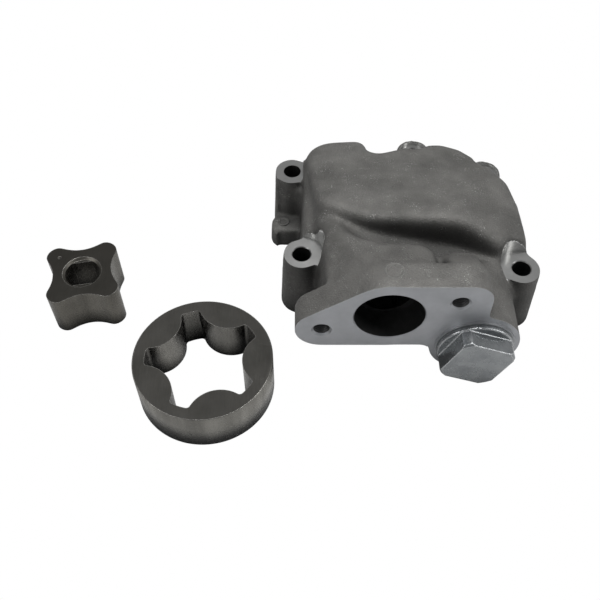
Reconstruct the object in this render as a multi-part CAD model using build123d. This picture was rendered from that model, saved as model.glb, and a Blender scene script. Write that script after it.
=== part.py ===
from build123d import *
import math
import os

# Gerotor oil pump of a small engine, laid out on a bench with its rotors drawn.
# Millimetres.  Origin: centre of the rotor pocket, on the mounting face (z = 0).
# The intake flange faces -Y and the screws go in from +Z.

# ---------------------------------------------------------------- driving sizes
cutter_reach = 400.0          # trimming blocks run well past the part
overcut = 1.0                 # cutters start this far outside a face

# gerotor set
rotor_diameter = 65.0
rotor_height = 23.7
eccentricity = 3.9
outer_lobes = 5
lobe_radius = 14.8            # arc of each inward lobe of the outer rotor
lobe_circle = 33.1            # where the lobe arcs have their centres
pocket_root_radius = 26.8     # bottom of the gaps between the lobes
gap_corner_radius = 1.8
mesh_clearance = 0.05
rotor_chamfer = 0.4
drive_bore_diameter = 17.0    # double-D drive bore of the inner rotor
drive_flats = 14.0
drive_chamfer = 1.2
mark_diameter = 1.8           # punched face mark, one on each rotor
mark_depth = 0.6
outer_mark_radius = 25.5
outer_mark_angle = -5.0
inner_mark_radius = 15.5

# where the two rotors lie beside the housing
outer_rotor_place = (-102.9, -79.6)
outer_rotor_turn = -73.3
inner_rotor_place = (-166.5, -29.0)
inner_rotor_turn = 54.7

# rotor pocket and ports in the housing
pocket_clearance = 0.09       # radial
end_clearance = 0.08          # axial
eccentric_direction = -45.3   # from the pocket centre to the shaft centre
port_inner_radius = 16.0
port_outer_radius = 26.4
port_sweep = 118.0
port_depth = 8.5
inlet_duct_width = 14.0       # cored duct from the inlet port to the intake
inlet_duct_height = 11.7
inlet_duct_end = (-18.3, -47.0)
pocket_edge_chamfer = 0.6

# shaft bush, pressed into the pocket floor
bush_bore_diameter = 17.1
bush_outer_diameter = 21.0
bush_length = 13.0
bush_floor_gap = 2.0

# screw bosses (x, y of each hole), clearance holes for M8
screw_hole_diameter = 9.0
boss_height = 35.0
front_boss_radius = 9.2       # radii at the top of the bosses
back_boss_radius = 8.8
boss_draft = 2.3
left_back_screw = (-62.1, 29.9)
left_front_screw = (-57.2, -26.9)
right_front_screw = (48.6, -35.9)
right_back_screw = (38.6, 27.4)
middle_back_screw = (2.8, 43.4)
spot_face_radius = 10.8       # cutter that cleans the boss tops
side_spot_radius = 7.0        # smaller cutter at the back

# cast body
casting_draft = 2.5
shelf_height = 40.0           # floor of the valley between deck and intake
shelf_front = -41.0
valley_low = 6.0              # x where the valley floor is at the shelf's height
valley_rise = 0.24            # climb per millimetre to the left of it
valley_left = -38.0
valley_front = -46.0
valley_back = -20.0
valley_corner_radius = 3.0
deck_back_height = 45.5
deck_front_height = 57.0
deck_block_height = 80.0      # before the roof is trimmed
deck_rim_radius = 4.5
shoulder_start = 24.0         # from here the roof falls to the right
shoulder_fall = 0.54          # drop per millimetre
shoulder_radius = 30.0
shelf_draft = 4.0
deck_front = -22.0
deck_back = 37.5
web_height = 31.0
web_half_width = 8.0
spot_face_reach = 18.0        # how far up the cutters bite into the flank
cast_mark_place = (-17.0, -62.3)       # round pin mark on top of the intake flange
cast_mark_radius = 4.2
lug_mark_radius = 2.5
lug_rim_radius = 2.0
lug_height = 11.0
dowel_hole_diameter = 6.0
dowel_hole_depth = 8.0
dowel_place = (-66.9, 15.6)

# outlines at the mounting face, corner by corner: x, y, corner radius
deck_outline = [
    (-58.5, 44.5, 16),
    (-52.0, -12.5, 9),
    (-27.0, -25.5, 25),
    (12.0, -26.5, 30),
    (39.0, -37.5, 12),
    (54.0, -26.0, 9),
    (52.0, 0.0, 12),
    (48.5, 12.5, 8),
    (42.5, 18.0, 8),
    (35.0, 28.5, 12),
    (27.5, 37.8, 10),
    (17.0, 43.3, 10),
    (2.5, 42.5, 8),
    (-20.5, 33.9, 4),
    (-21.5, 47.2, 8),
]
shelf_outline = [
    (-58.5, 43.0, 12),
    (-58.5, -30.0, 8),
    (-40.0, shelf_front - 2.5, 12),
    (55.8, shelf_front - 2.5, 8),
    (54.5, 2.0, 8),
    (50.0, 12.5, 8),
    (37.0, 28.0, 8),
    (27.5, 38.5, 10),
    (17.0, 43.6, 10),
    (2.5, 42.8, 8),
    (-20.5, 33.7, 4),
    (-21.8, 44.5, 7),
]
neck_outline = [
    (-29.0, 2.0, 9),
    (-54.0, 2.0, 9),
    (-47.0, -66.0, 12),
    (6.5, -66.0, 12),
    (6.5, -37.5, 12),
    (-26.5, -33.0, 12),
    (-34.5, -22.5, 6),
]
lug_outline = [
    (-73.8, 23.2, 7),
    (-73.8, 8.6, 7),
    (-50.0, 8.6, 2),
    (-50.0, 23.2, 2),
]

# intake flange, on a plane square to Y
flange_face = -71.0
flange_thickness = 15.0
flange_rear_radius = 2.0
intake_centre = (-17.9, 43.6)          # x, z
intake_bore_diameter = 32.0
intake_bore_end = -56.0
intake_throat_radius = 12.0
intake_throat_end = (-18.5, -52.0, 40.0)
intake_throat_drop = 1.0      # how far it starts below the bore's centre
intake_boss_radius = 22.4
flange_screw_offset = (-30.3, -10.05)  # from the intake to the left tapped hole, x and z
flange_ear_radius = 12.3
flange_thread_hole_diameter = 6.8      # tapping size of M8
flange_thread_mouth_diameter = 9.2
flange_thread_depth = 20.0
flange_right_edge = 26.4
flange_top = 65.6
flange_corner_radius = 10.0
neck_low = 20.0               # swept shoulder behind the intake flange
neck_block_height = 60.0      # before its top is trimmed
neck_height = 64.0            # at the flange
neck_fall = 0.36              # drop per millimetre towards the valley
neck_left = -27.0
neck_left_fall = 0.75         # drop per millimetre towards the left ear
neck_draft = 5.0
neck_rim_radius = 4.0
side_left = 3.5               # smaller mound beside it
side_back = -37.5
side_fall = 0.7

# relief valve, along Y beside the intake
valve_axis = (23.7, 21.2)              # x, z
valve_boss_radius = 21.2
valve_spot_radius = 22.0      # seat of the sealing washer, faced a little deeper
valve_spot_depth = 0.5
valve_bore_diameter = 18.0
valve_seat = -34.0
plug_thread_diameter = 27.0
plug_thread_depth = 14.0
plug_end_gap = 1.0
thread_clearance = 0.05
plug_collar_diameter = 35.6
plug_collar_thickness = 2.2
plug_head_diameter = 34.6
plug_across_flats = 27.2
plug_head_length = 8.1
plug_head_turn = 22.5
plug_head_chamfer = 1.0
plug_spring_bore_diameter = 14.0
plug_end_wall = 7.5
washer_outer_diameter = 37.2
washer_thickness = 1.4
washer_clearance = 0.2
valve_clearance = 0.04
piston_length = 15.0
piston_crown = 4.0
piston_bore_diameter = 13.2
spring_diameter = 12.4
spring_wire = 1.8
spring_turns = 5.5
feed_hole_diameter = 7.0
feed_hole_height = 29.0
feed_hole_end = -3.0
dump_hole_diameter = 7.0
dump_hole_place = -41.0

# outlet
outlet_place = (-38.0, 27.0)
outlet_diameter = 16.0
gallery_diameter = 14.0
gallery_height = 34.0
gallery_start = (14.0, 20.0)

# ------------------------------------------------------------ derived sizes
inner_lobes = outer_lobes - 1
pocket_radius = rotor_diameter / 2 + pocket_clearance
pocket_depth = rotor_height + end_clearance
shaft_place = (
    eccentricity * math.cos(math.radians(eccentric_direction)),
    eccentricity * math.sin(math.radians(eccentric_direction)),
)
flange_rear = flange_face + flange_thickness
left_ear = (
    intake_centre[0] + flange_screw_offset[0],
    intake_centre[1] + flange_screw_offset[1],
)
right_ear = (
    intake_centre[0] - flange_screw_offset[0],
    intake_centre[1] - flange_screw_offset[1],
)
port_top = pocket_depth + port_depth
inlet_direction = eccentric_direction - 90
outlet_direction = eccentric_direction + 90
port_middle_radius = (port_inner_radius + port_outer_radius) / 2
valve_face = flange_face + valve_spot_depth
valve_thread_end = flange_face + plug_thread_depth
all_screws = [
    left_back_screw,
    left_front_screw,
    right_front_screw,
    right_back_screw,
    middle_back_screw,
]


# ------------------------------------------------------------ small helpers
def upright(x, y, radius, low, high):
    """A cylinder along Z between two heights."""
    return Pos(x, y, low) * Cylinder(
        radius, high - low, align=(Align.CENTER, Align.CENTER, Align.MIN)
    )


def along_y(centre, radius, front, back):
    """A cylinder along Y between two planes; centre is (x, z)."""
    shape = Cylinder(radius, back - front, align=(Align.CENTER, Align.CENTER, Align.MIN))
    return Pos(centre[0], front, centre[1]) * Rot(-90, 0, 0) * shape


def between(start, end, radius):
    """A cylinder with round ends from one point to another."""
    axis = Vector(*end) - Vector(*start)
    plane = Plane(origin=start, z_dir=axis)
    rod = plane * Cylinder(
        radius, axis.length, align=(Align.CENTER, Align.CENTER, Align.MIN)
    )
    return rod + Pos(*start) * Sphere(radius) + Pos(*end) * Sphere(radius)


def disc(centre, radius):
    return Pos(centre[0], centre[1]) * Circle(radius)


def rounded_outline(corners):
    """A closed outline of straight runs; each corner is (x, y, radius)."""
    points = [(x, y) for x, y, _ in corners]
    radii = [radius for _, _, radius in corners]
    count = len(points)
    starts, bends, ends = [], [], []
    for i in range(count):
        here = Vector(*points[i])
        before = (Vector(*points[i - 1]) - here).normalized()
        after = (Vector(*points[(i + 1) % count]) - here).normalized()
        half = math.acos(max(-1.0, min(1.0, before.dot(after)))) / 2
        reach = radii[i] / math.tan(half)
        middle = (before + after).normalized()
        starts.append(here + before * reach)
        ends.append(here + after * reach)
        bends.append(here + middle * (radii[i] / math.sin(half) - radii[i]))
    edges = []
    for i in range(count):
        edges.append(ThreePointArc(starts[i], bends[i], ends[i]))
        edges.append(Line(ends[i], starts[(i + 1) % count]))
    return make_face(edges)


def xz_plane(y):
    """Sketch plane square to Y whose local x, y are the model's x and z."""
    return Plane(origin=(0, y, 0), x_dir=(1, 0, 0), z_dir=(0, -1, 0))


# ------------------------------------------------------------ rotors
def inner_lobe_point(turn):
    """Envelope of the outer rotor's lobe arcs, seen from the inner rotor."""
    a = turn
    b = outer_lobes * turn
    x = lobe_circle * math.cos(a) + eccentricity * math.cos(b)
    y = lobe_circle * math.sin(a) + eccentricity * math.sin(b)
    dx = -lobe_circle * math.sin(a) - outer_lobes * eccentricity * math.sin(b)
    dy = lobe_circle * math.cos(a) + outer_lobes * eccentricity * math.cos(b)
    length = math.hypot(dx, dy)
    inset = lobe_radius + mesh_clearance
    return (x - inset * dy / length, y + inset * dx / length)


def inner_profile():
    steps = inner_lobes * 14
    points = [inner_lobe_point(2 * math.pi * i / steps) for i in range(steps)]
    return make_face(Spline(points, periodic=True))


def outer_profile():
    gaps = Circle(pocket_root_radius)
    for i in range(outer_lobes):
        angle = math.radians(360 / outer_lobes * i)
        centre = (lobe_circle * math.cos(angle), lobe_circle * math.sin(angle))
        gaps -= disc(centre, lobe_radius)
    outer_corners = gaps.vertices().group_by(lambda v: round(Vector(v).length, 2))[-1]
    gaps = fillet(outer_corners, gap_corner_radius)
    return gaps


def punch_mark(place, radius, angle):
    x = place[0] + radius * math.cos(math.radians(angle))
    y = place[1] + radius * math.sin(math.radians(angle))
    cone = Cone(0.1, mark_diameter / 2, mark_depth, align=(Align.CENTER, Align.CENTER, Align.MAX))
    return Pos(x, y, rotor_height) * cone


def make_outer_rotor():
    ring = Circle(rotor_diameter / 2) - outer_profile()
    body = extrude(ring, rotor_height)
    rims = body.edges().filter_by(GeomType.CIRCLE)
    rims = rims.filter_by(lambda e: abs(e.radius - rotor_diameter / 2) < 0.01)
    body = chamfer(rims, rotor_chamfer)
    body = Pos(outer_rotor_place[0], outer_rotor_place[1], 0) * Rot(0, 0, outer_rotor_turn) * body
    return body - punch_mark(outer_rotor_place, outer_mark_radius, outer_mark_angle)


def make_inner_rotor():
    bore = Circle(drive_bore_diameter / 2) & Rectangle(2 * drive_bore_diameter, drive_flats)
    body = extrude(inner_profile() - Rot(0, 0, -45) * bore, rotor_height)
    mouth_radius = drive_bore_diameter / 2 + drive_chamfer
    mouth = Cone(
        mouth_radius - drive_chamfer,
        mouth_radius,
        drive_chamfer,
        align=(Align.CENTER, Align.CENTER, Align.MAX),
    )
    body -= Pos(0, 0, rotor_height) * mouth
    body -= Rot(180, 0, 0) * mouth
    body = Pos(inner_rotor_place[0], inner_rotor_place[1], 0) * Rot(0, 0, inner_rotor_turn) * body
    return body - punch_mark(inner_rotor_place, inner_mark_radius, inner_rotor_turn + 90)


# ------------------------------------------------------------ housing, cast shape
def cut_above(block, centre, rise_x, rise_y):
    """Trim a block to a plane through centre, given its rise per mm in x and y."""
    normal = Vector(-rise_x, -rise_y, 1)
    plane = Plane(origin=centre, x_dir=(1, 0, rise_x), z_dir=normal)
    lid = Box(
        cutter_reach,
        cutter_reach,
        cutter_reach,
        align=(Align.CENTER, Align.CENTER, Align.MIN),
    )
    return block - plane * lid


def edges_above(block, height):
    """Edges that lie above a height from end to end."""
    found = ShapeList()
    for edge in block.edges():
        if min((edge @ 0).Z, (edge @ 0.5).Z, (edge @ 1).Z) > height:
            found.append(edge)
    return found


def make_deck():
    """Raised chamber over the ports, its roof rising towards the intake."""
    block = extrude(rounded_outline(deck_outline), deck_block_height, taper=casting_draft)
    roof_slope = (deck_back_height - deck_front_height) / (deck_back - deck_front)
    roof_start = (shoulder_start, deck_front, deck_front_height)
    block = cut_above(block, roof_start, 0, roof_slope)
    block = cut_above(block, roof_start, -shoulder_fall, 0.04)
    crease = []
    for edge in block.edges():
        middle = edge @ 0.5
        flat = edge.geom_type == GeomType.LINE and middle.Z > deck_back_height
        if flat and edge.length > 20 and shoulder_start < middle.X < 45:
            crease.append(edge)
    block = fillet(crease[:1], shoulder_radius)
    return fillet(edges_above(block, 30), deck_rim_radius)


def make_shelf():
    """Lower block round the rotor pocket, up to the floor of the valley."""
    return extrude(rounded_outline(shelf_outline), shelf_height, taper=shelf_draft)


def make_valley_floor():
    """Floor of the valley, climbing to the left until neck and deck meet."""
    radius = valley_corner_radius
    outline = rounded_outline(
        [
            (valley_left, valley_front, radius),
            (valley_low, valley_front, radius),
            (valley_low, valley_back, radius),
            (valley_left, valley_back, radius),
        ]
    )
    floor = Pos(0, 0, neck_low) * extrude(outline, neck_block_height)
    return cut_above(floor, (valley_low, 0, shelf_height), -valley_rise, 0)


def make_boss(place):
    grow = boss_height * math.tan(math.radians(boss_draft))
    radius = front_boss_radius if place[1] < 0 else back_boss_radius
    post = Cone(
        radius + grow,
        radius,
        boss_height,
        align=(Align.CENTER, Align.CENTER, Align.MIN),
    )
    return Pos(place[0], place[1], 0) * post


def make_rim_web(start, end, half_width, height):
    """Low web of the mounting rim from one screw boss to the next."""
    ends = disc(start, half_width) + disc(end, half_width)
    return extrude(make_hull(ends.edges()), height)


def make_lug():
    block = extrude(rounded_outline(lug_outline), lug_height, taper=casting_draft)
    return fillet(block.faces().sort_by(Axis.Z)[-1].edges(), lug_rim_radius)


def flange_outline():
    """Machined face shared by the intake flange and the relief valve boss."""
    ear = disc(left_ear, flange_ear_radius) + disc(intake_centre, intake_boss_radius)
    ear = make_hull(ear.edges())
    low = intake_centre[1] - intake_boss_radius + 0.3
    panel = rounded_outline(
        [
            (intake_centre[0], flange_top, 1),
            (intake_centre[0], low, 1),
            (valve_axis[0], low, 1),
            (flange_right_edge, low + 4, 1),
            (flange_right_edge, flange_top, flange_corner_radius),
        ]
    )
    shape = ear + panel + disc(valve_axis, valve_boss_radius)
    inner_corners = []
    for corner in shape.vertices():
        near_left = abs(corner.X - (valve_axis[0] - valve_boss_radius)) < 1.5
        near_right = abs(corner.X - flange_right_edge) < 0.1 and corner.Y < 45
        if near_left and corner.Y > 15 or near_right:
            inner_corners.append(corner)
    return fillet(inner_corners, 4.5)


def make_flange_plate():
    plate = extrude(xz_plane(flange_rear) * flange_outline(), flange_thickness)
    rear = plate.faces().sort_by(Axis.Y)[-1]
    return fillet(rear.edges(), flange_rear_radius)


def make_intake_neck():
    """Swept shoulder from the intake flange round into the deck, and side mound."""
    outline = rounded_outline(neck_outline)
    neck = Pos(0, 0, neck_low) * extrude(outline, neck_block_height, taper=neck_draft)
    neck = cut_above(neck, (0, flange_rear, neck_height), 0, -neck_fall)
    neck = cut_above(neck, (neck_left, flange_rear, neck_height), neck_left_fall, 0)
    neck = fillet(edges_above(neck, neck_low + 5), neck_rim_radius)
    outline = rounded_outline(
        [
            (side_left, flange_rear - 10, 10),
            (flange_right_edge, flange_rear - 10, 10),
            (flange_right_edge, side_back, 10),
            (side_left, side_back, 10),
        ]
    )
    side = Pos(0, 0, neck_low) * extrude(outline, neck_block_height, taper=neck_draft)
    side = cut_above(side, (0, flange_rear, neck_height), 0, -side_fall)
    side = fillet(edges_above(side, neck_low + 5), neck_rim_radius - 1)
    in_front = Box(
        cutter_reach,
        cutter_reach,
        cutter_reach,
        align=(Align.CENTER, Align.MAX, Align.CENTER),
    )
    in_front = Pos(0, flange_rear - overcut, 0) * in_front
    barrel = along_y(valve_axis, valve_boss_radius, valve_face, shelf_front + 4)
    return neck + side - in_front + barrel


def make_casting():
    """The whole casting before machining."""
    body = make_shelf() + make_deck()
    body += make_intake_neck()
    body += make_valley_floor()
    body += make_flange_plate()
    body += make_lug()
    for place in all_screws:
        body += make_boss(place)
    for place in all_screws:
        distance = math.hypot(place[0], place[1])
        reach = (distance - 22) / distance
        inner = (place[0] * reach, place[1] * reach)
        body += make_rim_web(place, inner, web_half_width, web_height)
    x, y = cast_mark_place
    body += upright(x, y, cast_mark_radius, flange_top - 6, flange_top + 0.6)
    x, y = dowel_place
    body += upright(x, y, lug_mark_radius, 0, lug_height + 0.4)
    return body


# ------------------------------------------------------------ housing, machining
def cut_screw_holes(body):
    for place in all_screws:
        x, y = place
        body -= upright(x, y, screw_hole_diameter / 2, -overcut, boss_height + overcut)
        if place == left_back_screw:
            continue
        front = place in (left_front_screw, right_front_screw)
        radius = spot_face_radius if front else side_spot_radius
        body -= upright(x, y, radius, boss_height, boss_height + spot_face_reach)
    return body


def make_port(turn):
    """Kidney port above the rotor pocket, centred on an angle."""
    kidney = Circle(port_outer_radius) - Circle(port_inner_radius)
    corners = [(0, 0)]
    for share in (-0.5, 0, 0.5):
        angle = math.radians(turn + share * port_sweep)
        reach = 2 * rotor_diameter
        corners.append((reach * math.cos(angle), reach * math.sin(angle)))
    kidney &= make_face(Polyline(corners, close=True))
    for share in (-0.5, 0.5):
        angle = math.radians(turn + share * port_sweep)
        end = (port_middle_radius * math.cos(angle), port_middle_radius * math.sin(angle))
        kidney += disc(end, (port_outer_radius - port_inner_radius) / 2)
    return Pos(0, 0, pocket_depth - overcut) * extrude(kidney, port_depth + overcut)


def cut_pocket(body):
    body -= upright(0, 0, pocket_radius, -overcut, pocket_depth)
    body -= Cone(
        pocket_radius + pocket_edge_chamfer,
        pocket_radius,
        pocket_edge_chamfer,
        align=(Align.CENTER, Align.CENTER, Align.MIN),
    )
    x, y = shaft_place
    bore_top = pocket_depth + bush_floor_gap + bush_length
    body -= upright(x, y, bush_outer_diameter / 2, pocket_depth - overcut, bore_top)
    body -= make_port(inlet_direction)
    body -= make_port(outlet_direction)
    return body


def cut_intake(body):
    """Intake bore, the throat behind it, the duct to the inlet port, tapped holes."""
    radius = intake_bore_diameter / 2
    body -= along_y(intake_centre, radius, flange_face - overcut, intake_bore_end)
    throat_start = (
        intake_centre[0],
        intake_bore_end,
        intake_centre[1] - intake_throat_drop,
    )
    body -= between(throat_start, intake_throat_end, intake_throat_radius)
    angle = math.radians(inlet_direction)
    port = (port_middle_radius * math.cos(angle), port_middle_radius * math.sin(angle))
    ends = disc(port, inlet_duct_width / 2) + disc(inlet_duct_end, inlet_duct_width / 2)
    duct = extrude(make_hull(ends.edges()), inlet_duct_height)
    body -= Pos(0, 0, pocket_depth) * duct
    for ear in (left_ear, right_ear):
        low = flange_face + flange_thread_depth
        body -= along_y(ear, flange_thread_hole_diameter / 2, flange_face - overcut, low)
        mouth = Cone(
            flange_thread_mouth_diameter / 2,
            flange_thread_hole_diameter / 2,
            (flange_thread_mouth_diameter - flange_thread_hole_diameter) / 2,
            align=(Align.CENTER, Align.CENTER, Align.MIN),
        )
        body -= Pos(ear[0], flange_face, ear[1]) * Rot(-90, 0, 0) * mouth
    return body


def cut_valve(body):
    outside = flange_face - overcut
    body -= along_y(valve_axis, valve_spot_radius, outside, valve_face)
    body -= along_y(valve_axis, plug_thread_diameter / 2, outside, valve_thread_end)
    body -= along_y(valve_axis, valve_bore_diameter / 2, outside, valve_seat)
    feed_axis = (valve_axis[0], feed_hole_height)
    body -= along_y(feed_axis, feed_hole_diameter / 2, valve_seat - overcut, feed_hole_end)
    x, z = valve_axis
    body -= upright(x, dump_hole_place, dump_hole_diameter / 2, -overcut, z)
    return body


def cut_outlet(body):
    x, y = outlet_place
    body -= upright(x, y, outlet_diameter / 2, -overcut, gallery_height)
    start = (gallery_start[0], gallery_start[1], gallery_height)
    body -= between(start, (x, y, gallery_height), gallery_diameter / 2)
    x, y = dowel_place
    body -= upright(x, y, dowel_hole_diameter / 2, -overcut, dowel_hole_depth)
    return body


def make_pump_housing():
    body = make_casting()
    body = cut_screw_holes(body)
    body = cut_pocket(body)
    body = cut_intake(body)
    body = cut_valve(body)
    body = cut_outlet(body)
    return body


# ------------------------------------------------------------ shaft bush and valve
def make_shaft_bush():
    x, y = shaft_place
    low = pocket_depth + bush_floor_gap
    ring = upright(x, y, bush_outer_diameter / 2, low, low + bush_length)
    high = low + bush_length
    ring -= upright(x, y, bush_bore_diameter / 2, low - overcut, high + overcut)
    return chamfer(ring.edges().filter_by(GeomType.CIRCLE), 0.4)


def make_plug_sealing_washer():
    low = valve_face - washer_thickness
    ring = along_y(valve_axis, washer_outer_diameter / 2, low, valve_face)
    inner = plug_thread_diameter / 2 + washer_clearance
    return ring - along_y(valve_axis, inner, low - overcut, valve_face + overcut)


def make_relief_valve_plug():
    seat = valve_face - washer_thickness
    collar_front = seat - plug_collar_thickness
    head_front = collar_front - plug_head_length
    head = along_y(valve_axis, plug_head_diameter / 2, head_front, collar_front)
    head = chamfer(head.edges().sort_by(Axis.Y)[0], plug_head_chamfer)
    square = Pos(valve_axis[0], head_front, valve_axis[1]) * Rot(0, plug_head_turn, 0)
    square *= Box(
        plug_across_flats,
        plug_head_length * 2,
        plug_across_flats,
    )
    head &= square
    collar = along_y(valve_axis, plug_collar_diameter / 2, collar_front, seat)
    collar = chamfer(collar.edges().filter_by(GeomType.CIRCLE), 0.4)
    shank_end = valve_thread_end - plug_end_gap
    shank_radius = plug_thread_diameter / 2 - thread_clearance
    shank = along_y(valve_axis, shank_radius, seat, shank_end)
    shank = chamfer(shank.edges().sort_by(Axis.Y)[-1], 1.2)
    radius = plug_spring_bore_diameter / 2
    bore = along_y(valve_axis, radius, spring_seat(), shank_end + overcut)
    return head + collar + shank - bore


def spring_seat():
    """Bottom of the bore in the plug, where the spring stands."""
    collar_front = valve_face - washer_thickness - plug_collar_thickness
    return collar_front - plug_head_length + plug_end_wall


def make_relief_piston():
    radius = valve_bore_diameter / 2 - valve_clearance
    front = valve_seat - piston_length
    cup = along_y(valve_axis, radius, front, valve_seat)
    cup = chamfer(cup.edges().filter_by(GeomType.CIRCLE), 0.5)
    crown = valve_seat - piston_crown
    return cup - along_y(valve_axis, piston_bore_diameter / 2, front - overcut, crown)


def make_relief_spring():
    """Helical spring between the plug and the piston's crown, ends squared."""
    low = spring_seat()
    high = valve_seat - piston_crown
    radius = (spring_diameter - spring_wire) / 2
    length = high - low - spring_wire
    pitch = length / spring_turns
    path = Helix(pitch, length, radius)
    start = Plane(origin=path @ 0, z_dir=path % 0)
    wire = sweep(start * Circle(spring_wire / 2), path, is_frenet=True)
    flat = Pos(0, 0, -spring_wire / 2) * Cylinder(
        radius + spring_wire, high - low, align=(Align.CENTER, Align.CENTER, Align.MIN)
    )
    wire = wire & flat
    place = Pos(valve_axis[0], low + spring_wire / 2, valve_axis[1]) * Rot(-90, 0, 0)
    return place * wire


# ------------------------------------------------------------ export
parts = {
    "pump_housing": make_pump_housing,
    "outer_rotor": make_outer_rotor,
    "inner_rotor": make_inner_rotor,
    "shaft_bush": make_shaft_bush,
    "relief_valve_plug": make_relief_valve_plug,
    "plug_sealing_washer": make_plug_sealing_washer,
    "relief_spring": make_relief_spring,
    "relief_piston": make_relief_piston,
}
os.makedirs("parts", exist_ok=True)
for name, make in parts.items():
    shape = make()
    if len(shape.solids()) != 1:
        raise ValueError(name + " is not one solid")
    shape = shape.solids()[0]
    shape.label = name
    export_step(shape, "parts/" + name + ".step")
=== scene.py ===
import bpy
import bmesh
import math
import numpy as np
from mathutils import Matrix, Vector


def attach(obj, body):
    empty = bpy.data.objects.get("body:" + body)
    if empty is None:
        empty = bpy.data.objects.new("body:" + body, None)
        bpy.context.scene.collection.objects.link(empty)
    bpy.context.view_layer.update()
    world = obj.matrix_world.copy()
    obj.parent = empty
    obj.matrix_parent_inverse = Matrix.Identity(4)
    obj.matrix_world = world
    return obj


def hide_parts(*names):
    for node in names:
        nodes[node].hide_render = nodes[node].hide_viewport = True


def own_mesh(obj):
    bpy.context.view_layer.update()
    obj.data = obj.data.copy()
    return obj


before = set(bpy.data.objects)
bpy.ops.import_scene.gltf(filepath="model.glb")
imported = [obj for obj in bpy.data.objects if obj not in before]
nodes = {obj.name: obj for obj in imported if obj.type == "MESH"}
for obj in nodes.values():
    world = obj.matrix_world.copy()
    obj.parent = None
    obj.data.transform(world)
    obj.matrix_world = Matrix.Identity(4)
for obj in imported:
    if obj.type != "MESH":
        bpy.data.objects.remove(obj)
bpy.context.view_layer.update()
scene = bpy.context.scene

# Lengths, places and profiles below are in millimetres unless a line says otherwise;
# meshes, lamps and the camera are in metres.


def mm(*values):
    """Vector in metres from values in mm."""
    return Vector([v / 1000 for v in values])


# ---------------------------------------------------------------- mesh helpers
def new_object(name, mesh):
    item = bpy.data.objects.new(name, mesh)
    scene.collection.objects.link(item)
    return item


def lathe(name, profile, centre, axis="Z", steps=96):
    """Closed turned solid; profile is (radius, height) pairs in mm along the axis."""
    verts, faces, rings = [], [], []
    for radius, height in profile:
        if radius == 0:
            rings.append([len(verts)])
            verts.append((0, 0, height))
            continue
        ring = []
        for i in range(steps):
            a = 2 * math.pi * i / steps
            ring.append(len(verts))
            verts.append((radius * math.cos(a), radius * math.sin(a), height))
        rings.append(ring)
    for low, high in zip(rings[:-1], rings[1:]):
        for i in range(steps):
            j = (i + 1) % steps
            if len(low) == 1:
                faces.append((low[0], high[j], high[i]))
            elif len(high) == 1:
                faces.append((low[i], low[j], high[0]))
            else:
                faces.append((low[i], low[j], high[j], high[i]))
    mesh = bpy.data.meshes.new(name)
    mesh.from_pydata(verts, [], faces)
    if axis == "Y":
        mesh.transform(Matrix.Rotation(math.radians(-90), 4, "X"))
    mesh.transform(Matrix.Translation(Vector(centre)))
    mesh.transform(Matrix.Scale(0.001, 4))
    bm = bmesh.new()
    bm.from_mesh(mesh)
    bmesh.ops.recalc_face_normals(bm, faces=bm.faces)
    bm.to_mesh(mesh)
    bm.free()
    return new_object(name, mesh)


def block(name, low, high):
    """Box between two corners."""
    bm = bmesh.new()
    bmesh.ops.create_cube(bm, size=1)
    mesh = bpy.data.meshes.new(name)
    bm.to_mesh(mesh)
    bm.free()
    size = Vector(high) - Vector(low)
    mid = (Vector(high) + Vector(low)) / 2
    place = Matrix.Translation(mid / 1000) @ Matrix.Diagonal((*(size / 1000), 1))
    mesh.transform(place)
    return new_object(name, mesh)


def joined(name, items):
    """One object from the meshes of several, which it uses up."""
    bm = bmesh.new()
    for item in items:
        bm.from_mesh(item.data)
    mesh = bpy.data.meshes.new(name)
    bm.to_mesh(mesh)
    bm.free()
    for item in items:
        bpy.data.objects.remove(item)
    return new_object(name, mesh)


def apply_modifier(item, kind, **settings):
    """Run one modifier and keep its result as the object's mesh."""
    modifier = item.modifiers.new("work", kind)
    for key, value in settings.items():
        setattr(modifier, key, value)
    graph = bpy.context.evaluated_depsgraph_get()
    mesh = bpy.data.meshes.new_from_object(item.evaluated_get(graph))
    item.modifiers.clear()
    item.data = mesh


def combine(item, other, operation):
    """Boolean of two closed solids; the second one is used up."""
    bpy.context.view_layer.update()
    apply_modifier(item, "BOOLEAN", object=other, operation=operation, solver="MANIFOLD")
    bpy.data.objects.remove(other)


def welded(source, name):
    """Copy of a CAD node's mesh with its split vertices joined."""
    bm = bmesh.new()
    bm.from_mesh(source.data)
    bmesh.ops.remove_doubles(bm, verts=bm.verts, dist=2e-6)
    bmesh.ops.recalc_face_normals(bm, faces=bm.faces)
    mesh = bpy.data.meshes.new(name)
    bm.to_mesh(mesh)
    bm.free()
    return new_object(name, mesh)


def soften(mesh, rounds, amount):
    """Laplacian smoothing; amount gives the share of each vertex, 0 to 1."""
    count = len(mesh.vertices)
    co = np.empty(count * 3)
    mesh.vertices.foreach_get("co", co)
    co = co.reshape(-1, 3)
    pairs = np.empty(len(mesh.edges) * 2, dtype=np.int64)
    mesh.edges.foreach_get("vertices", pairs)
    a, b = pairs[0::2], pairs[1::2]
    links = np.bincount(a, minlength=count) + np.bincount(b, minlength=count)
    share = (0.5 * amount(co * 1000))[:, None]
    for _ in range(rounds):
        total = np.empty_like(co)
        for k in range(3):
            total[:, k] = np.bincount(a, co[b, k], count) + np.bincount(b, co[a, k], count)
        co += (total / links[:, None] - co) * share
    mesh.vertices.foreach_set("co", co.ravel())
    mesh.update()


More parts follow.
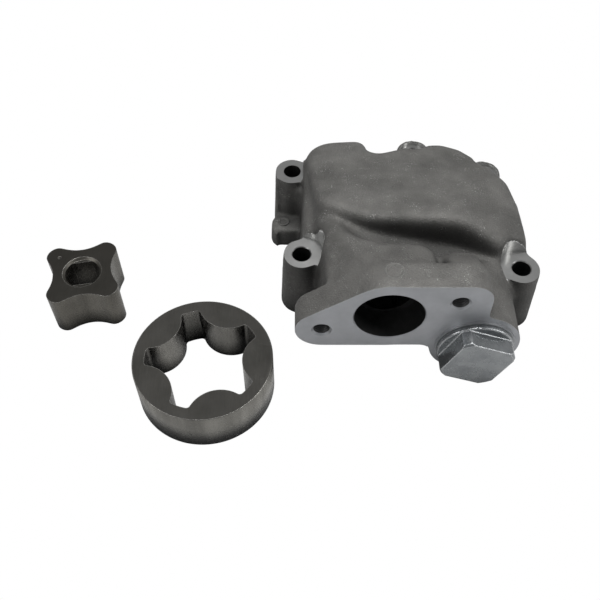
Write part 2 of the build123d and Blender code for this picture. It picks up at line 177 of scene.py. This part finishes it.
# ---------------------------------------------------------------- cast housing skin
# (x, y, radius of the boss top, radius of the spot-face cutter or 0) of each screw boss
SCREWS = [
    (-62.1, 29.9, 8.8, 0),
    (-57.2, -26.9, 9.2, 10.8),
    (48.6, -35.9, 9.2, 10.8),
    (38.6, 27.4, 8.8, 7.0),
    (2.8, 43.4, 8.8, 7.0),
]
SCREW_HOLE = 4.5            # radius
BOSS_TOP = 35.0
WEB_SIDE = -56.2            # the unspotted boss is milled on the left of this x only

FLANGE_FACE = -71.0         # y
INTAKE = (-17.9, FLANGE_FACE, 43.6)
INTAKE_BORE = (16, 15)      # radius, depth
EARS = [(-48.2, FLANGE_FACE, 33.55), (12.4, FLANGE_FACE, 53.65)]
EAR_HOLE = (4.7, 3.75)      # radius at the mouth and under its chamfer
THREAD = (3.4, 3.95)        # radius of the crests and roots
THREAD_PITCH = 1.25
THREAD_TURNS = 13

VALVE = (23.7, FLANGE_FACE, 21.2)
VALVE_SPOT = (22, 0.5)      # radius, depth of the plug's spot face, thread and bore
VALVE_THREAD = (13.5, 14)
VALVE_BORE = (9, 37)

POCKET = (32.6, 23.85)      # radius, depth of the rotor pocket
POCKET_CHAMFER = 0.6
SHAFT = (2.743, -2.772, 0)
BUSH_SEAT = (10.5, 15)      # radius, depth from the pocket's floor

PIN_MARKS = [((-17, -62.3, 65.5), 4.2), ((-66.9, 15.6, 10.9), 2.9)]
PIN_MARK_HEIGHT = 0.75
PIN_MARK_RIM = 0.45

PROUD = 2.5                 # how far a face stands out before it is milled
VOXEL = 0.0009              # metres


def ellipsoid(centre, size):
    """Round filler for the casting; size is its half axes."""
    bm = bmesh.new()
    bmesh.ops.create_icosphere(bm, subdivisions=4, radius=1)
    mesh = bpy.data.meshes.new("ellipsoid")
    bm.to_mesh(mesh)
    bm.free()
    place = Matrix.Translation(centre) @ Matrix.Diagonal((*size, 1))
    mesh.transform(Matrix.Scale(0.001, 4) @ place)
    return new_object("ellipsoid", mesh)


def near(p, centre, reach):
    """Weight that is 1 at a place and fades over a distance."""
    gap = np.linalg.norm(p - np.array(centre), axis=1)
    return np.exp(-((gap / reach) ** 2))


def proud_copy(name, low, high, shift):
    """Copy of the housing with a box taken away, moved out by a step."""
    item = welded(nodes["pump_housing"], name)
    combine(item, block("box", low, high), "DIFFERENCE")
    item.data.transform(Matrix.Translation(mm(*shift)))
    return item


def all_over(p):
    """Softening of the whole casting, less of it on the small dowel lug."""
    return 1 - 0.75 * near(p, (-68, 16, 6), 9)


def along_valley(p):
    """Softening along the valley in front of the chamber and round its left end."""
    front = np.exp(-(((p[:, 1] + 31) / 14) ** 2)) * (p[:, 2] > 24)
    left = np.exp(-(((p[:, 0] + 50) / 9) ** 2)) * (p[:, 2] > 34) * (p[:, 1] > -50)
    return np.clip(front + left, 0, 1)


def at_saddle(p):
    """Softening of the saddle between the two mounds behind the flange."""
    return near(p, (4, -49, 56), 9)


def make_casting():
    """The casting before machining: holes filled, faces proud, edges softened."""
    fill = []
    for x, y, r, _ in SCREWS:
        core = [(0, -PROUD), (6, -PROUD), (6, BOSS_TOP - 1), (0, BOSS_TOP - 1)]
        cap = [(0, 20), (r + 0.6, 20), (r, BOSS_TOP + 2), (0, BOSS_TOP + 2)]
        fill.append(lathe("fill", core, (x, y, 0)))
        fill.append(lathe("fill", cap, (x, y, 0)))
    for ear in EARS:
        fill.append(lathe("fill", [(0, -2), (5.5, -2), (5.5, 21), (0, 21)], ear, "Y"))
    sleeve = [(13, -2), (17.5, -2), (17.5, 14), (13, 14), (13, -2)]
    fill.append(lathe("fill", sleeve, INTAKE, "Y"))
    fill.append(ellipsoid((5, -50, 46), (9, 9, 9)))
    raw = welded(nodes["pump_housing"], "casting")
    front = proud_copy("front", (-70, -64, -5), (60, 80, 80), (0, -PROUD, 0))
    base = proud_copy("base", (-90, -90, 4), (90, 90, 90), (0, 0, -PROUD))
    raw = joined("casting", [raw, front, base] + fill)
    apply_modifier(raw, "REMESH", mode="VOXEL", voxel_size=VOXEL)
    soften(raw.data, 9, all_over)
    soften(raw.data, 26, along_valley)
    soften(raw.data, 20, at_saddle)
    return raw


def pin_mark(centre, radius):
    """Round pad of the mould's ejector pin with a soft rim and a slight dish."""
    top, dish = PIN_MARK_HEIGHT, PIN_MARK_HEIGHT * 0.55
    foot = radius + PIN_MARK_RIM
    profile = [(0, -2.5), (foot, -2.5), (foot, 0), (radius, top)]
    profile += [(radius - 0.8, top), (radius - 1.3, dish), (0, dish)]
    return lathe("mark", profile, centre)


def plain_cut(size, centre, start, **settings):
    """Cutter for a straight hole of a radius and depth, begun before the face."""
    radius, depth = size
    profile = [(0, start), (radius, start), (radius, depth), (0, depth)]
    return lathe("cut", profile, centre, **settings)


def screw_cut(x, y, spot):
    """Cutter for a screw hole and, where it has one, its spot face."""
    if not spot:
        return plain_cut((SCREW_HOLE, 50), (x, y, 0), -2)
    chamfer = 0.4
    profile = [(0, -2), (SCREW_HOLE, -2), (SCREW_HOLE, BOSS_TOP - chamfer)]
    profile += [(SCREW_HOLE + chamfer, BOSS_TOP), (spot, BOSS_TOP), (spot, 60), (0, 60)]
    return lathe("cut", profile, (x, y, 0))


def tapped_cut(ear):
    """Cutter for a tapped hole: chamfered mouth and grooves down its wall."""
    mouth, under = EAR_HOLE
    crest, root = THREAD
    profile = [(0, -2), (mouth, -2), (mouth, 0), (under, 0.95)]
    for turn in range(THREAD_TURNS):
        profile.append((root, 1.3 + THREAD_PITCH * turn))
        profile.append((crest, 1.9 + THREAD_PITCH * turn))
    profile += [(crest, 19), (0, 21)]
    return lathe("cut", profile, ear, "Y")


def machine(raw):
    """Flat faces, spot faces and holes cut clean into the softened casting."""
    combine(raw, block("box", (-200, -200, -50), (200, 200, 0)), "DIFFERENCE")
    combine(raw, block("box", (-200, -120, -50), (200, FLANGE_FACE, 200)), "DIFFERENCE")
    cuts = [screw_cut(x, y, spot) for x, y, _, spot in SCREWS]
    cuts += [tapped_cut(ear) for ear in EARS]
    radius, depth = INTAKE_BORE
    profile = [(0, -2), (radius + 0.5, -2), (radius + 0.5, 0), (radius, 0.5)]
    profile += [(radius, depth), (0, depth + 0.1)]
    cuts.append(lathe("cut", profile, INTAKE, "Y"))
    cuts.append(plain_cut(VALVE_SPOT, VALVE, -4, axis="Y", steps=160))
    radius, depth = POCKET
    mouth = radius + POCKET_CHAMFER + 2
    profile = [(0, -2), (mouth, -2), (radius, POCKET_CHAMFER), (radius, depth), (0, depth)]
    cuts.append(lathe("cut", profile, (0, 0, 0), steps=192))
    cuts.append(plain_cut((BUSH_SEAT[0], depth + BUSH_SEAT[1]), SHAFT, 20))
    (thread, shoulder), (bore, seat) = VALVE_THREAD, VALVE_BORE
    profile = [(0, -4), (thread, -4), (thread, shoulder), (bore, shoulder), (bore, seat), (0, seat)]
    cuts.append(lathe("cut", profile, VALVE, "Y"))
    for cutter in cuts:
        combine(raw, cutter, "DIFFERENCE")
    x, y = SCREWS[0][:2]
    top = [(0, BOSS_TOP), (9.3, BOSS_TOP), (9.3, BOSS_TOP + 6), (0, BOSS_TOP + 6)]
    top = lathe("cut", top, (x, y, 0))
    combine(top, block("box", (WEB_SIDE, 0, 20), (-20, 60, 60)), "DIFFERENCE")
    combine(raw, top, "DIFFERENCE")
    for centre, radius in PIN_MARKS:
        combine(raw, pin_mark(centre, radius), "UNION")
    return raw


housing = machine(make_casting())
housing.name = "pump_housing_cast"


# ---------------------------------------------------------------- materials
def math_node(tree, operation, a, b=None, c=None):
    """Maths node; each value is a number or a socket."""
    node = tree.nodes.new("ShaderNodeMath")
    node.operation = operation
    for slot, value in zip(node.inputs, (a, b, c)):
        if value is None:
            continue
        if isinstance(value, (int, float)):
            slot.default_value = value
        else:
            tree.links.new(value, slot)
    return node.outputs[0]


def noise(tree, coordinates, scale, detail=4.0, roughness=0.55, seed=0.0):
    """Noise between 0 and 1; another seed gives another pattern."""
    node = tree.nodes.new("ShaderNodeTexNoise")
    node.noise_dimensions = "4D"
    node.inputs["W"].default_value = seed
    node.inputs["Scale"].default_value = scale
    node.inputs["Detail"].default_value = detail
    node.inputs["Roughness"].default_value = roughness
    tree.links.new(coordinates, node.inputs["Vector"])
    return node.outputs["Fac"]


def ramp(tree, value, low, high, out_low=0.0, out_high=1.0):
    """Clamped straight ramp from one range of values to another."""
    node = tree.nodes.new("ShaderNodeMapRange")
    node.inputs["From Min"].default_value = low
    node.inputs["From Max"].default_value = high
    node.inputs["To Min"].default_value = out_low
    node.inputs["To Max"].default_value = out_high
    tree.links.new(value, node.inputs["Value"])
    return node.outputs["Result"]


def mix_colour(tree, factor, a, b):
    """Colour from a to b; each is a colour or a socket."""
    node = tree.nodes.new("ShaderNodeMix")
    node.data_type = "RGBA"
    tree.links.new(factor, node.inputs["Factor"])
    for slot, value in ((node.inputs[6], a), (node.inputs[7], b)):
        if isinstance(value, tuple):
            slot.default_value = (*value, 1)
        else:
            tree.links.new(value, slot)
    return node.outputs[2]


def object_place(tree):
    """Coordinates in the object's own space."""
    return tree.nodes.new("ShaderNodeTexCoord").outputs["Object"]


def vector_node(tree, operation, a, b=None, out=0):
    """Vector maths on sockets; a number for b is a scale."""
    node = tree.nodes.new("ShaderNodeVectorMath")
    node.operation = operation
    tree.links.new(a, node.inputs[0])
    if operation == "SCALE":
        if isinstance(b, float):
            node.inputs["Scale"].default_value = b
        else:
            tree.links.new(b, node.inputs["Scale"])
    elif b is not None:
        tree.links.new(b, node.inputs[1])
    return node.outputs[out]


def stretched(tree, place, scale, turn=0.0):
    """Coordinates stretched along the axes and turned about Z."""
    node = tree.nodes.new("ShaderNodeMapping")
    node.inputs["Scale"].default_value = scale
    node.inputs["Rotation"].default_value = (0, 0, turn)
    tree.links.new(place, node.inputs["Vector"])
    return node.outputs[0]


def painted_hollow_shade(tree, distance, low, high, dark, base):
    """Painted shade: darkens the colour of places that are closed in within a distance in metres.
    """
    cavity = tree.nodes.new("ShaderNodeAmbientOcclusion")
    cavity.samples = 8
    cavity.inputs["Distance"].default_value = distance
    return mix_colour(tree, ramp(tree, cavity.outputs["AO"], low, high), dark, base)


def new_group(name, inputs, outputs):
    """Node group; inputs are (name, socket, value), outputs (name, socket)."""
    tree = bpy.data.node_groups.new(name, "ShaderNodeTree")
    for label, kind, value in inputs:
        socket = tree.interface.new_socket(label, in_out="INPUT", socket_type=kind)
        socket.default_value = value
    for label, kind in outputs:
        tree.interface.new_socket(label, in_out="OUTPUT", socket_type=kind)
    return tree, tree.nodes.new("NodeGroupInput"), tree.nodes.new("NodeGroupOutput")


def edge_wear_and_highlight_group():
    """Wear and painted highlight on convex edges, broken up by noise, and normals rounded over
    Width metres.
    """
    tree, source, result = new_group(
        "edge_wear_and_highlight",
        [("Amount", "NodeSocketFloat", 1.0), ("Width", "NodeSocketFloat", 0.0006)],
        [("Wear And Highlight", "NodeSocketFloat"), ("Normal", "NodeSocketVector")],
    )
    bevel = tree.nodes.new("ShaderNodeBevel")
    bevel.samples = 6
    tree.links.new(source.outputs["Width"], bevel.inputs["Radius"])
    shape = tree.nodes.new("ShaderNodeNewGeometry")
    match = vector_node(tree, "DOT_PRODUCT", bevel.outputs[0], shape.outputs["Normal"], out="Value")
    turn = ramp(tree, match, 1.0, 0.86)
    rough = ramp(tree, noise(tree, object_place(tree), 900, 3), 0.35, 0.65, 0.4, 1)
    wear_and_highlight = math_node(tree, "MULTIPLY", turn, rough)
    wear_and_highlight = math_node(tree, "MULTIPLY", wear_and_highlight, source.outputs["Amount"])
    tree.links.new(wear_and_highlight, result.inputs["Wear And Highlight"])
    tree.links.new(bevel.outputs[0], result.inputs["Normal"])
    return tree


def cast_grain_group():
    """Shot-blasted sand-cast surface: fine height, patchy tone and small glints."""
    tree, source, result = new_group(
        "cast_grain",
        [("Grain Scale", "NodeSocketFloat", 1500.0), ("Patch Scale", "NodeSocketFloat", 55.0)],
        [("Height", "NodeSocketFloat"), ("Tone", "NodeSocketFloat"), ("Glint", "NodeSocketFloat")],
    )
    place = object_place(tree)
    fine = tree.nodes.new("ShaderNodeTexNoise")
    tree.links.new(place, fine.inputs["Vector"])
    tree.links.new(source.outputs["Grain Scale"], fine.inputs["Scale"])
    fine.inputs["Detail"].default_value = 5
    fine.inputs["Roughness"].default_value = 0.7
    patch = tree.nodes.new("ShaderNodeTexNoise")
    tree.links.new(place, patch.inputs["Vector"])
    tree.links.new(source.outputs["Patch Scale"], patch.inputs["Scale"])
    patch.inputs["Detail"].default_value = 6
    patch.inputs["Roughness"].default_value = 0.6
    dents = tree.nodes.new("ShaderNodeTexVoronoi")
    dents.inputs["Scale"].default_value = 1100
    tree.links.new(place, dents.inputs["Vector"])
    height = math_node(tree, "MULTIPLY_ADD", dents.outputs["Distance"], 0.6, fine.outputs["Fac"])
    tree.links.new(height, result.inputs["Height"])
    tone = math_node(tree, "MULTIPLY_ADD", fine.outputs["Fac"], 0.5, patch.outputs["Fac"])
    tree.links.new(ramp(tree, tone, 0.45, 1.05), result.inputs["Tone"])
    sparks = noise(tree, place, 2600, 2, 0.5, 7.0)
    cluster = ramp(tree, noise(tree, place, 160, 3, 0.5, 3.0), 0.47, 0.66)
    glint = math_node(tree, "MULTIPLY", ramp(tree, sparks, 0.625, 0.70), cluster)
    tree.links.new(glint, result.inputs["Glint"])
    return tree


def turning_group():
    """Fine concentric tool marks about an axis along Z through a centre."""
    tree, source, result = new_group(
        "turning_marks",
        [("Centre", "NodeSocketVector", (0, 0, 0)), ("Pitch Scale", "NodeSocketFloat", 2500.0)],
        [("Height", "NodeSocketFloat")],
    )
    offset = vector_node(tree, "SUBTRACT", object_place(tree), source.outputs["Centre"])
    split = tree.nodes.new("ShaderNodeSeparateXYZ")
    tree.links.new(offset, split.inputs[0])
    flat = tree.nodes.new("ShaderNodeCombineXYZ")
    tree.links.new(split.outputs[0], flat.inputs[0])
    tree.links.new(split.outputs[1], flat.inputs[1])
    distance = vector_node(tree, "LENGTH", flat.outputs[0], out="Value")
    wave = tree.nodes.new("ShaderNodeTexNoise")
    wave.noise_dimensions = "1D"
    tree.links.new(distance, wave.inputs["W"])
    tree.links.new(source.outputs["Pitch Scale"], wave.inputs["Scale"])
    wave.inputs["Detail"].default_value = 2
    tree.links.new(wave.outputs["Fac"], result.inputs["Height"])
    return tree


EDGE = edge_wear_and_highlight_group()
GRAIN = cast_grain_group()
TURNING = turning_group()


def use_group(tree, group, **values):
    """A group in a material's tree, with its inputs set by name."""
    node = tree.nodes.new("ShaderNodeGroup")
    node.node_tree = group
    for key, value in values.items():
        node.inputs[key.replace("_", " ")].default_value = value
    return node


def new_material(name):
    """Material, its node tree and its shader."""
    material = bpy.data.materials.new(name)
    material.use_nodes = True
    return material, material.node_tree, material.node_tree.nodes["Principled BSDF"]


def bump(tree, height, strength, distance, shader, normal=None):
    """Relief of a depth in metres on the shader's normal."""
    node = tree.nodes.new("ShaderNodeBump")
    node.inputs["Strength"].default_value = strength
    node.inputs["Distance"].default_value = distance
    tree.links.new(height, node.inputs["Height"])
    if normal is not None:
        tree.links.new(normal, node.inputs["Normal"])
    tree.links.new(node.outputs[0], shader.inputs["Normal"])


def cast_aluminium():
    """Sand-cast skin with small glints, bright edges of wear and painted highlight, and painted
    shade in its hollows.
    """
    material, tree, shader = new_material("cast_aluminium")
    grain = use_group(tree, GRAIN, Grain_Scale=1500.0, Patch_Scale=55.0)
    wear_and_highlight = use_group(tree, EDGE, Amount=0.5, Width=0.0008)
    base = mix_colour(tree, grain.outputs["Tone"], (0.060, 0.059, 0.055), (0.165, 0.161, 0.152))
    base = mix_colour(tree, grain.outputs["Glint"], base, (0.75, 0.75, 0.73))
    # edges lightened: partly wear, partly painted highlight
    base = mix_colour(tree, wear_and_highlight.outputs["Wear And Highlight"], base, (0.36, 0.36, 0.35))
    # painted shade: the colour darkens where the casting is closed in
    base = painted_hollow_shade(tree, 0.02, 0.3, 0.97, (0.02, 0.02, 0.019), base)
    tree.links.new(base, shader.inputs["Base Color"])
    shader.inputs["Metallic"].default_value = 0.45
    rough = ramp(tree, grain.outputs["Glint"], 0, 1, 0.62, 0.26)
    tree.links.new(rough, shader.inputs["Roughness"])
    bump(tree, grain.outputs["Height"], 0.8, 0.00035, shader)
    return material


def machined_aluminium(name, centre, colour, roughness, pitch=2500.0):
    """Milled or spot-faced metal with tool marks about a centre."""
    material, tree, shader = new_material(name)
    marks = use_group(tree, TURNING, Centre=centre, Pitch_Scale=pitch)
    stain = ramp(tree, noise(tree, object_place(tree), 120, 4), 0.3, 0.75)
    dark = tuple(0.82 * c for c in colour)
    tree.links.new(mix_colour(tree, stain, dark, colour), shader.inputs["Base Color"])
    shader.inputs["Metallic"].default_value = 0.85
    shader.inputs["Roughness"].default_value = roughness
    bump(tree, marks.outputs["Height"], 0.25, 0.00008, shader)
    return material


def plated_zinc():
    """Cloudy zinc plating with bright rounded edges, the brightness partly wear and partly painted
    highlight.
    """
    material, tree, shader = new_material("plated_zinc")
    place = object_place(tree)
    wear_and_highlight = use_group(tree, EDGE, Amount=1.0, Width=0.0009)
    cloud = ramp(tree, noise(tree, place, 130, 5, 0.6), 0.3, 0.72)
    base = mix_colour(tree, cloud, (0.27, 0.285, 0.295), (0.42, 0.435, 0.44))
    # edges lightened: partly wear, partly painted highlight
    base = mix_colour(tree, wear_and_highlight.outputs["Wear And Highlight"], base, (0.90, 0.91, 0.92))
    tree.links.new(base, shader.inputs["Base Color"])
    shader.inputs["Metallic"].default_value = 0.92
    tree.links.new(ramp(tree, cloud, 0, 1, 0.20, 0.34), shader.inputs["Roughness"])
    bump(tree, noise(tree, place, 900, 4), 0.12, 0.0001, shader, wear_and_highlight.outputs["Normal"])
    return material


def rotor_steel(name, low, high, seed):
    """Sintered steel: matt end faces darkened as painted shade, turned walls with fine upright
    bands of painted reflection.
    """
    material, tree, shader = new_material(name)
    place = object_place(tree)
    wear_and_highlight = use_group(tree, EDGE, Amount=0.85, Width=0.0005)
    scratches = stretched(tree, place, (1, 0.06, 1), 0.5 + seed)
    lines = noise(tree, scratches, 2200, 3, 0.6, seed)
    cloud = ramp(tree, noise(tree, place, 70, 5, 0.6, seed), 0.3, 0.75)
    base = mix_colour(tree, cloud, low, high)
    normal = tree.nodes.new("ShaderNodeSeparateXYZ")
    tree.links.new(tree.nodes.new("ShaderNodeNewGeometry").outputs["Normal"], normal.inputs[0])
    end = ramp(tree, math_node(tree, "ABSOLUTE", normal.outputs[2]), 0.6, 0.95)
    # painted reflection: upright bands scale the walls' colour between 0.75 and 1.6
    upright = stretched(tree, place, (1, 1, 0.02))
    painted_reflection_bands = ramp(tree, noise(tree, upright, 75, 3, 0.6, seed + 2), 0.35, 0.7, 0.75, 1.6)
    wall = vector_node(tree, "SCALE", base, painted_reflection_bands)
    # painted shade: the end faces' colour is the base at 0.23
    face = vector_node(tree, "SCALE", base, 0.23)
    base = mix_colour(tree, end, wall, face)
    # edges lightened: partly wear, partly painted highlight
    base = mix_colour(tree, wear_and_highlight.outputs["Wear And Highlight"], base, (0.45, 0.44, 0.42))
    # painted shade: the colour darkens in the gaps and corners between the lobes
    base = painted_hollow_shade(tree, 0.014, 0.42, 0.9, (0.012, 0.012, 0.011), base)
    tree.links.new(base, shader.inputs["Base Color"])
    shader.inputs["Metallic"].default_value = 0.88
    matt = math_node(tree, "MULTIPLY_ADD", end, 0.46, ramp(tree, lines, 0.2, 0.8, 0.22, 0.34))
    tree.links.new(matt, shader.inputs["Roughness"])
    bump(tree, lines, 0.12, 0.00006, shader, wear_and_highlight.outputs["Normal"])
    return material


def plain_metal(name, colour, roughness):
    """Even metal with a faint patchy tone."""
    material, tree, shader = new_material(name)
    tone = ramp(tree, noise(tree, object_place(tree), 300, 4), 0.3, 0.7)
    dark = tuple(0.75 * c for c in colour)
    tree.links.new(mix_colour(tree, tone, dark, colour), shader.inputs["Base Color"])
    shader.inputs["Metallic"].default_value = 0.9
    shader.inputs["Roughness"].default_value = roughness
    return material


# ---------------------------------------------------------------- dressing the housing
CAST, MILLED, SHADED_BORE, LIT_FLANK, FIRST_SPOT = range(5)
HOUSING_MATERIALS = [
    cast_aluminium(),
    machined_aluminium("milled_flange", (0, 0, 0), (0.52, 0.53, 0.55), 0.40, 1200.0),
    # painted shade: bores, screw holes and tapped holes beyond their chamfers are coloured near
    # black
    plain_metal("bore_painted_shade", (0.09, 0.09, 0.09), 0.42),
    # painted highlight: the spot faces' cutter flanks are coloured much lighter than the other
    # machined faces
    plain_metal("cutter_flank_painted_highlight", (0.85, 0.85, 0.83), 0.2),
]
SPOT_COLOUR = (0.27, 0.27, 0.265)
SPOT_ROUGHNESS = 0.34


def on_screw_boss(p, n):
    """Material at a screw boss's hole, top or cutter flank, or None elsewhere."""
    wall = abs(n.z) < 0.8
    for index, (x, y, _, spot) in enumerate(SCREWS):
        d = math.hypot(p.x - x, p.y - y)
        if d < SCREW_HOLE + 0.05 and wall and p.z < BOSS_TOP:
            return SHADED_BORE
        on_top = BOSS_TOP - 0.5 < p.z < BOSS_TOP + 0.03 and n.z > 0.5
        if d < max(spot, 9.4) + 0.1 and on_top:
            return FIRST_SPOT + index
        if spot and abs(d - spot) < 0.08 and p.z > BOSS_TOP and wall:
            return LIT_FLANK
    return None


def in_pocket(p, n):
    """Whether a point lies on the floor, wall or mouth of the rotor pocket."""
    radius, depth = POCKET
    d = math.hypot(p.x, p.y)
    if p.z > depth + 1.4 or d > radius + 0.7:
        return False
    on_floor = n.z < -0.55 and p.z > depth - 0.02
    on_wall = d > radius - 0.1 and p.z < depth and p.x * n.x + p.y * n.y < 0
    return on_floor or on_wall


def surface_at(p, n):
    """Index of the housing's material at a point with a normal."""
    if n.y < -0.9 and p.y < FLANGE_FACE + 0.6:
        return MILLED
    if abs(p.z) < 0.02:
        return MILLED
    boss = on_screw_boss(p, n)
    if boss is not None:
        return boss
    for ear in EARS:
        d = math.hypot(p.x - ear[0], p.z - ear[2])
        if d < EAR_HOLE[0] + 0.05 and p.y < FLANGE_FACE + 21.5:
            return MILLED if p.y < FLANGE_FACE + 0.9 else SHADED_BORE
    if in_pocket(p, n):
        return MILLED
    dx, dz = p.x - INTAKE[0], p.z - INTAKE[2]
    inward = dx * n.x + dz * n.z < 0.1
    if math.hypot(dx, dz) < INTAKE_BORE[0] + 0.6 and p.y < FLANGE_FACE + 32 and inward:
        return MILLED if p.y < FLANGE_FACE + 0.6 else SHADED_BORE
    return CAST


def paint_housing(item):
    """Casting skin, milled faces, spot faces and bores each get their own material; the bores'
    material is a near-black painted shade.
    """
    mesh = item.data
    mesh.materials.clear()
    for material in HOUSING_MATERIALS:
        mesh.materials.append(material)
    for index, (x, y, _, _) in enumerate(SCREWS):
        name, centre = "spot_face_%d" % index, tuple(mm(x, y, BOSS_TOP))
        mesh.materials.append(machined_aluminium(name, centre, SPOT_COLOUR, SPOT_ROUGHNESS))
    bm = bmesh.new()
    bm.from_mesh(mesh)
    for face in bm.faces:
        face.material_index = surface_at(face.calc_center_median() * 1000, face.normal)
        face.smooth = True
    bm.to_mesh(mesh)
    bm.free()
    mesh.set_sharp_from_angle(angle=math.radians(38))


paint_housing(housing)
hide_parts("pump_housing")
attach(housing, "housing")


OUTER_ROTOR = (-102.9, -79.6)
ROTOR_TOP = 23.7
FACE_MARK = (25.5, -5)      # radius and angle of its place on the outer rotor
MARK_REACH = 0.0014         # metres


def dress(node, material):
    """Give a CAD node its material in one slot."""
    slots = nodes[node].data.materials
    slots.clear()
    slots.append(material)


def outer_rotor_skin():
    """The ring with its punched face mark filled, so the end face is plain."""
    ring = welded(nodes["outer_rotor"], "outer_rotor_ring")
    bm = bmesh.new()
    bm.from_mesh(ring.data)
    radius, angle = FACE_MARK[0], math.radians(FACE_MARK[1])
    x = OUTER_ROTOR[0] + radius * math.cos(angle)
    y = OUTER_ROTOR[1] + radius * math.sin(angle)
    mark = mm(x, y, ROTOR_TOP)
    inside = []
    for face in bm.faces:
        middle = face.calc_center_median()
        if (middle - mark).length < MARK_REACH and middle.z < mark.z - 1e-5:
            inside.append(face)
    bmesh.ops.delete(bm, geom=inside, context="FACES")
    rim = [edge for edge in bm.edges if edge.is_boundary]
    bmesh.ops.holes_fill(bm, edges=rim, sides=0)
    bmesh.ops.recalc_face_normals(bm, faces=bm.faces)
    for face in bm.faces:
        face.smooth = abs(face.normal.z) < 0.999
    bm.to_mesh(ring.data)
    bm.free()
    ring.data.set_sharp_from_angle(angle=math.radians(30))
    ring.data.materials.clear()
    ring.data.materials.append(
        rotor_steel("outer_rotor_steel", (0.20, 0.194, 0.176), (0.29, 0.28, 0.258), 1.0)
    )
    return ring


def spring_skin():
    """The spring's coil, a mesh of its own so that it can shorten."""
    coil = welded(nodes["relief_spring"], "relief_spring_coil")
    coil.data.shade_smooth()
    coil.data.set_sharp_from_angle(angle=math.radians(40))
    coil.data.materials.clear()
    coil.data.materials.append(plain_metal("spring_wire", (0.22, 0.22, 0.23), 0.4))
    return coil


ring = outer_rotor_skin()
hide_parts("outer_rotor")
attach(ring, "outer_rotor")

inner_steel = rotor_steel("inner_rotor_steel", (0.125, 0.118, 0.102), (0.175, 0.166, 0.146), 4.0)
dress("inner_rotor", inner_steel)
dress("relief_valve_plug", plated_zinc())
dress("plug_sealing_washer", plain_metal("washer_metal", (0.50, 0.51, 0.52), 0.35))
dress("shaft_bush", plain_metal("bush_bronze", (0.55, 0.42, 0.22), 0.4))
dress("relief_piston", plain_metal("ground_piston", (0.50, 0.50, 0.50), 0.3))

# the spring stands on the plug and shortens as the piston comes towards it
spring = spring_skin()
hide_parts("relief_spring")
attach(spring, "housing")
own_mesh(spring)


# ---------------------------------------------------------------- floor, light, camera
# name, place, target, width, power in watts, height
LAMPS = [
    ("overhead", (-40, 130, 900), (-60, -20, 0), 0.36, 7.5, 0.36),
    ("front_left", (-700, -420, 500), (-60, -30, 20), 0.30, 1.2, 0.30),
    ("right_strip", (560, -160, 420), (0, -30, 30), 0.16, 1.6, 0.6),
]
FLOOR_TONE = (0.42, 0.42, 0.42, 1)
WORLD_TONE = (0.27, 0.274, 0.28, 1)
WHITE = (1, 1, 1, 1)

CAMERA_PLACE = (-58, -279.61, 337.93)
CAMERA_TARGET = (-58, -29, 0)
CAMERA_LENS = 48.44


def look_at(item, place, target):
    """Put a lamp or camera at a place, turned to a target."""
    scene.collection.objects.link(item)
    item.location = mm(*place)
    item.rotation_mode = "QUATERNION"
    item.rotation_quaternion = (mm(*target) - mm(*place)).to_track_quat("-Z", "Y")


def make_floor():
    """Floor that the camera sees as white and that lights the pieces as grey."""
    item = block("floor", (-3000, -3000, -6), (3000, 3000, -0.02))
    material, tree, shader = new_material("floor_white")
    shader.inputs["Base Color"].default_value = FLOOR_TONE
    shader.inputs["Roughness"].default_value = 0.9
    glow = tree.nodes.new("ShaderNodeEmission")
    glow.inputs["Color"].default_value = WHITE
    glow.inputs["Strength"].default_value = 1.0
    path = tree.nodes.new("ShaderNodeLightPath")
    blend = tree.nodes.new("ShaderNodeMixShader")
    tree.links.new(path.outputs["Is Camera Ray"], blend.inputs[0])
    tree.links.new(shader.outputs[0], blend.inputs[1])
    tree.links.new(glow.outputs[0], blend.inputs[2])
    tree.links.new(blend.outputs[0], tree.nodes["Material Output"].inputs["Surface"])
    item.data.materials.append(material)
    return item


def make_lamp(name, place, target, width, power, height):
    """Soft rectangular lamp; its width and height are in metres."""
    data = bpy.data.lights.new(name, "AREA")
    data.energy = power
    data.shape = "RECTANGLE"
    data.size = width
    data.size_y = height
    look_at(bpy.data.objects.new(name, data), place, target)


def make_world():
    """Grey surroundings that the camera sees as white."""
    world = bpy.data.worlds.new("studio")
    scene.world = world
    world.use_nodes = True
    tree = world.node_tree
    background = tree.nodes["Background"]
    path = tree.nodes.new("ShaderNodeLightPath")
    seen = mix_colour(tree, path.outputs["Is Camera Ray"], WORLD_TONE[:3], WHITE[:3])
    tree.links.new(seen, background.inputs["Color"])
    background.inputs["Strength"].default_value = 1.0


def make_camera():
    """The one camera, from the front and above."""
    data = bpy.data.cameras.new("camera")
    data.sensor_width = 36
    data.lens = CAMERA_LENS
    data.clip_start = 0.01
    data.clip_end = 20
    camera = bpy.data.objects.new("camera", data)
    look_at(camera, CAMERA_PLACE, CAMERA_TARGET)
    scene.camera = camera


floor = make_floor()
for lamp in LAMPS:
    make_lamp(*lamp)
make_world()
make_camera()
scene.view_settings.view_transform = "Standard"
